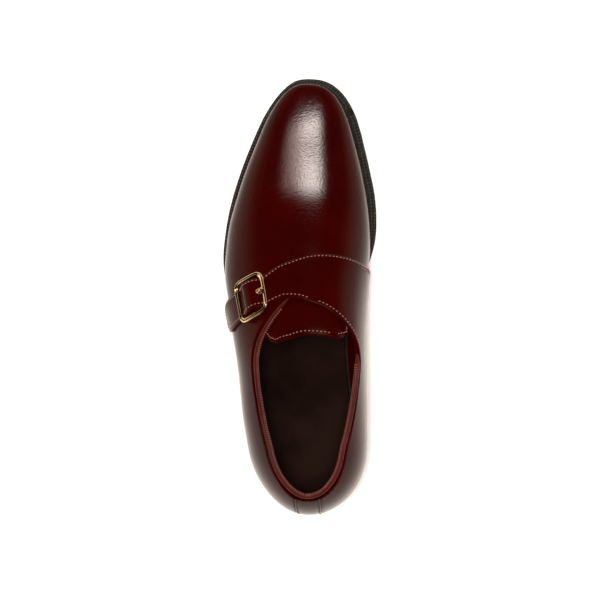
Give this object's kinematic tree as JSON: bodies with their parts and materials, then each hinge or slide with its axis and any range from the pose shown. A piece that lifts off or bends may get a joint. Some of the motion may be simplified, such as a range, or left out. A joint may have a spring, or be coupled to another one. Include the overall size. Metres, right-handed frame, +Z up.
{
  "type": "monk strap shoe",
  "caption": "Left dress shoe with a hollow leather upper, a buckled strap over the instep, a stitched welt, a leather sole and a stacked heel.",
  "frame": {"origin": "on the floor under the middle of the shoe's box", "axes": "+Y to the toe, +X to the inner (big toe) side, +Z up"},
  "size_m": [0.107, 0.3001, 0.0967],
  "materials": {
    "outsole": "oak leather underside, edges dressed black",
    "welt": "black waxed leather with a stitched top",
    "heel_stack": "stacked leather lifts, edge dressed black",
    "heel_top_piece": "matt black rubber",
    "insole": "dark brown sock leather",
    "upper": "polished burgundy calf, dark lining",
    "tongue": "polished burgundy calf, dark lining",
    "monk_strap": "polished burgundy calf, edge stitched",
    "outer_quarter": "polished burgundy calf, edge stitched",
    "back_strip": "polished burgundy calf",
    "topline_binding": "thin burgundy calf, rolled over the edge",
    "buckle_frame": "polished brass",
    "buckle_prong": "polished brass",
    "buckle_tab": "burgundy calf"
  },
  "bodies": {
    "root": {"outsole": "outsole", "welt": "welt", "heel_stack": "heel_stack", "heel_top_piece": "heel_top_piece", "insole": "insole", "upper": "upper", "tongue": "tongue", "monk_strap": "monk_strap", "outer_quarter": "outer_quarter", "back_strip": "back_strip", "topline_binding": "topline_binding", "buckle_frame": "buckle_frame", "buckle_prong": "buckle_prong", "buckle_tab": "buckle_tab"}
  },
  "joints": []
}
